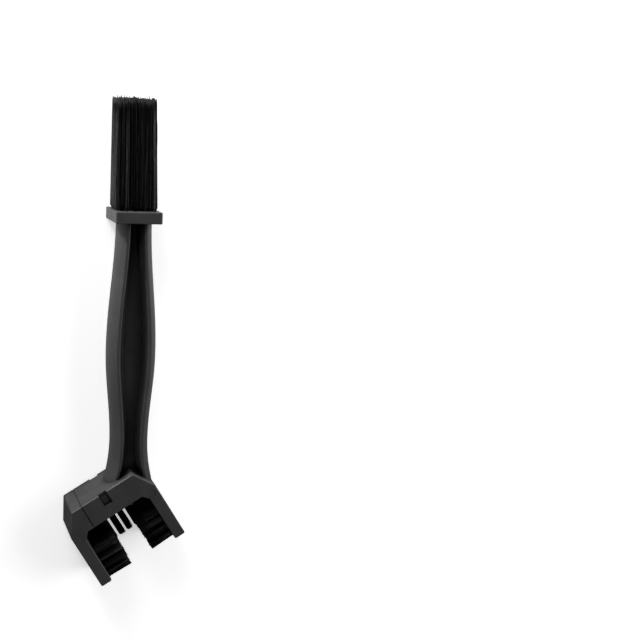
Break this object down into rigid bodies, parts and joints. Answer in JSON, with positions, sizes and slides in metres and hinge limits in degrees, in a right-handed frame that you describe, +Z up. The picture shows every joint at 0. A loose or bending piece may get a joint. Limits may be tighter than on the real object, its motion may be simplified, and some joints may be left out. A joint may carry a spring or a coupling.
{
  "type": "chain cleaning brush",
  "caption": "Double-ended chain cleaning brush: a tilted U-shaped head with inward-facing tufts at one end of a waisted grip and a long straight brush at the other.",
  "frame": {"origin": "on the plane of the back, halfway between the head's left and right ends and halfway along the brush", "axes": "+Y along the grip towards the long end brush, +Z up out of the front face with the brush lying on its back, +X to the right of it"},
  "size_m": [0.0634, 0.2659, 0.03],
  "materials": {
    "moulded_plastic": "satin black injection-moulded polypropylene with a fine grain",
    "bristle": "black nylon filament with a slight sheen",
    "anchor_wire": "drawn flat wire"
  },
  "bodies": {
    "root": {"grip_body": "moulded_plastic", "snap_arm": "moulded_plastic", "end_tuft_row_1": "bristle", "end_tuft_row_2": "bristle", "end_tuft_row_3": "bristle", "end_tuft_row_4": "bristle", "left_arm_tuft_row_1": "bristle", "left_arm_tuft_row_2": "bristle", "left_arm_tuft_row_3": "bristle", "left_arm_tuft_row_4": "bristle", "right_arm_tuft_row_1": "bristle", "right_arm_tuft_row_2": "bristle", "right_arm_tuft_row_3": "bristle", "right_arm_tuft_row_4": "bristle", "base_tuft_1": "bristle", "base_tuft_2": "bristle", "base_tuft_3": "bristle", "base_tuft_4": "bristle", "end_brush_anchors": "anchor_wire", "left_arm_anchors": "anchor_wire", "right_arm_anchors": "anchor_wire", "base_anchors": "anchor_wire"}
  },
  "joints": []
}
